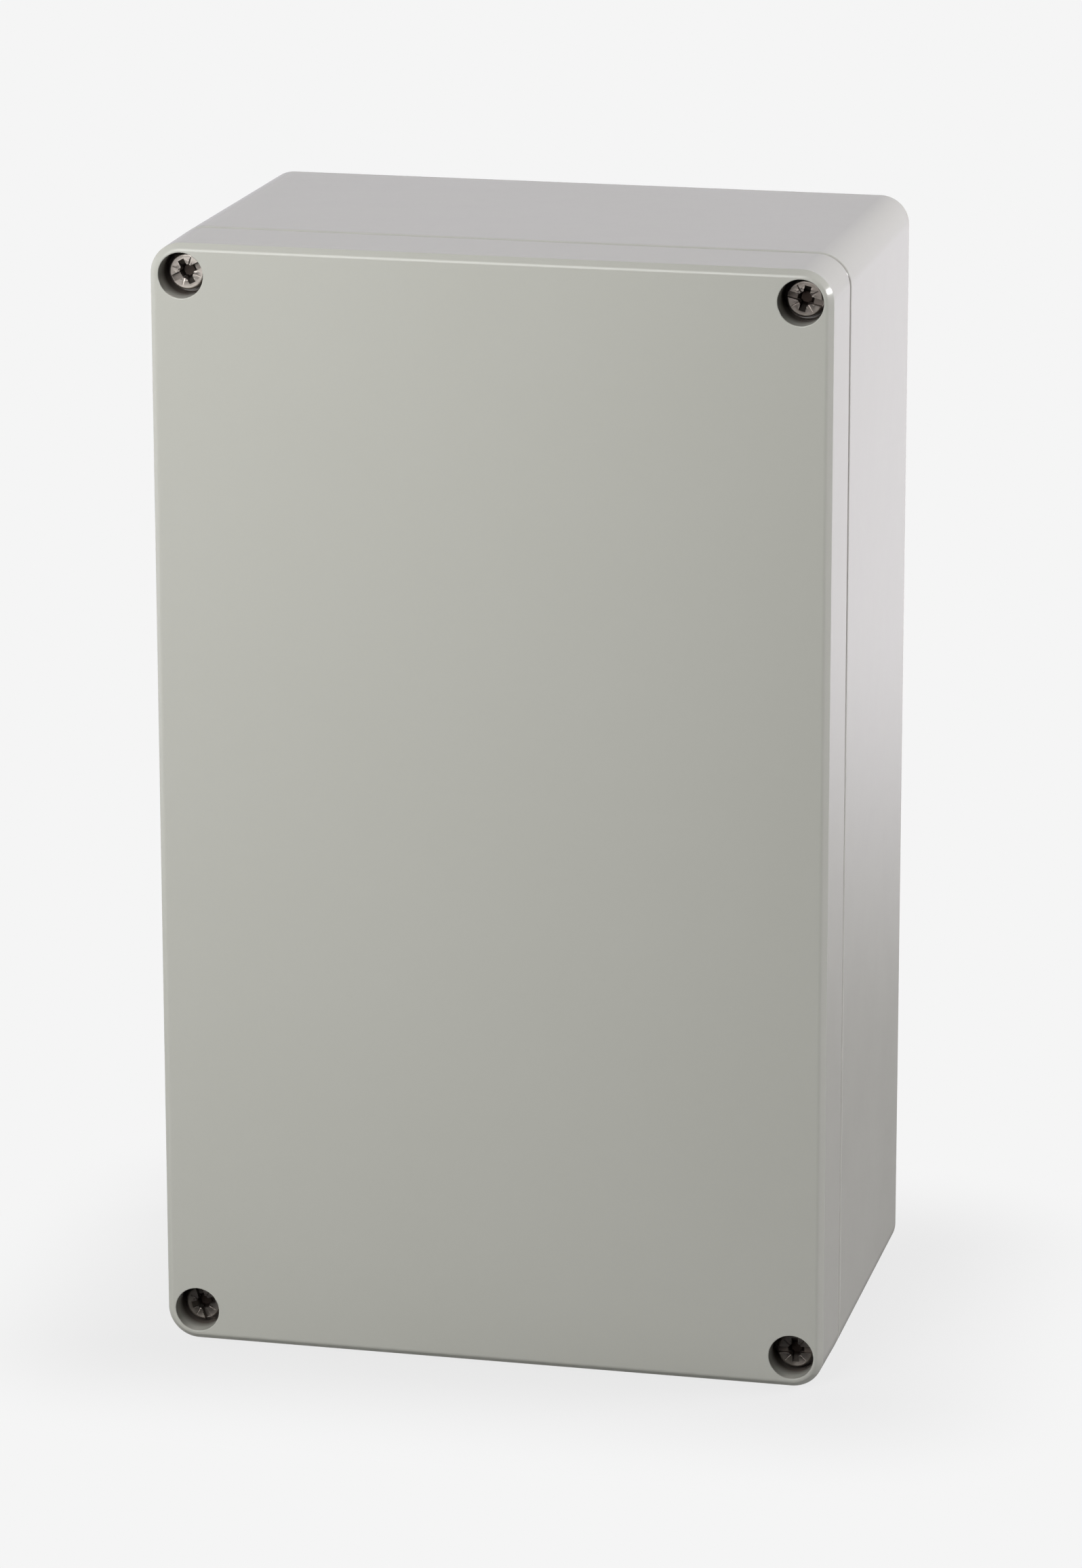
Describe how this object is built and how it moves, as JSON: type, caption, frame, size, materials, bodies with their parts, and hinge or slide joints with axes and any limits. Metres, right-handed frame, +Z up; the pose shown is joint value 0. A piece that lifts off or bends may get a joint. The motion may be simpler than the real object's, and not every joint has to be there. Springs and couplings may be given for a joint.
{
  "type": "plastic project box",
  "caption": "Light grey moulded plastic project box: deep flat lid held by sunk captive corner screws, rubber seal, brass inserts, floor bosses and wall-fixing holes.",
  "frame": {"origin": "bottom centre of the bounding box, in the plane that the box stands on", "axes": "+Z up the long side, -Y out of the lid's face, +X to the right seen from the front"},
  "size_m": [0.12, 0.075, 0.2],
  "materials": {
    "grey_plastic": "smooth moulded, satin",
    "seal_rubber": "matt",
    "screw_zinc": "bright zinc plate",
    "insert_brass": "turned"
  },
  "bodies": {
    "base": {"base": "grey_plastic", "insert_top_left": "insert_brass", "insert_top_right": "insert_brass", "insert_bottom_left": "insert_brass", "insert_bottom_right": "insert_brass", "panel_insert_top_left": "insert_brass", "panel_insert_top_right": "insert_brass", "panel_insert_bottom_left": "insert_brass", "panel_insert_bottom_right": "insert_brass"},
    "lid": {"lid": "grey_plastic", "gasket": "seal_rubber"},
    "ring_top_left": {"ring_top_left": "seal_rubber"},
    "screw_top_left": {"screw_top_left": "screw_zinc"},
    "ring_top_right": {"ring_top_right": "seal_rubber"},
    "screw_top_right": {"screw_top_right": "screw_zinc"},
    "ring_bottom_left": {"ring_bottom_left": "seal_rubber"},
    "screw_bottom_left": {"screw_bottom_left": "screw_zinc"},
    "ring_bottom_right": {"ring_bottom_right": "seal_rubber"},
    "screw_bottom_right": {"screw_bottom_right": "screw_zinc"}
  },
  "joints": [
    {"name": "lid_lift", "type": "slide", "parent": "base", "child": "lid", "axis": [0, -1, 0], "range_m": [0, 0.04]},
    {"name": "screw_out_top_left", "type": "slide", "parent": "lid", "child": "ring_top_left", "axis": [0, -1, 0], "range_m": [0, 0.0084]},
    {"name": "screw_turn_top_left", "type": "hinge", "parent": "ring_top_left", "child": "screw_top_left", "pos_m": [-0.0543, -0.0375, 0.1943], "axis": [0, -1, 0], "range_deg": [0, 4320]},
    {"name": "screw_out_top_right", "type": "slide", "parent": "lid", "child": "ring_top_right", "axis": [0, -1, 0], "range_m": [0, 0.0084]},
    {"name": "screw_turn_top_right", "type": "hinge", "parent": "ring_top_right", "child": "screw_top_right", "pos_m": [0.0543, -0.0375, 0.1943], "axis": [0, -1, 0], "range_deg": [0, 4320]},
    {"name": "screw_out_bottom_left", "type": "slide", "parent": "lid", "child": "ring_bottom_left", "axis": [0, -1, 0], "range_m": [0, 0.0084]},
    {"name": "screw_turn_bottom_left", "type": "hinge", "parent": "ring_bottom_left", "child": "screw_bottom_left", "pos_m": [-0.0543, -0.0375, 0.0057], "axis": [0, -1, 0], "range_deg": [0, 4320]},
    {"name": "screw_out_bottom_right", "type": "slide", "parent": "lid", "child": "ring_bottom_right", "axis": [0, -1, 0], "range_m": [0, 0.0084]},
    {"name": "screw_turn_bottom_right", "type": "hinge", "parent": "ring_bottom_right", "child": "screw_bottom_right", "pos_m": [0.0543, -0.0375, 0.0057], "axis": [0, -1, 0], "range_deg": [0, 4320]}
  ],
  "couplings": [
    {"joint": "screw_turn_top_left", "follows": "screw_out_top_left", "rad_per_m": 8976},
    {"joint": "screw_turn_top_right", "follows": "screw_out_top_right", "rad_per_m": 8976},
    {"joint": "screw_turn_bottom_left", "follows": "screw_out_bottom_left", "rad_per_m": 8976},
    {"joint": "screw_turn_bottom_right", "follows": "screw_out_bottom_right", "rad_per_m": 8976}
  ]
}
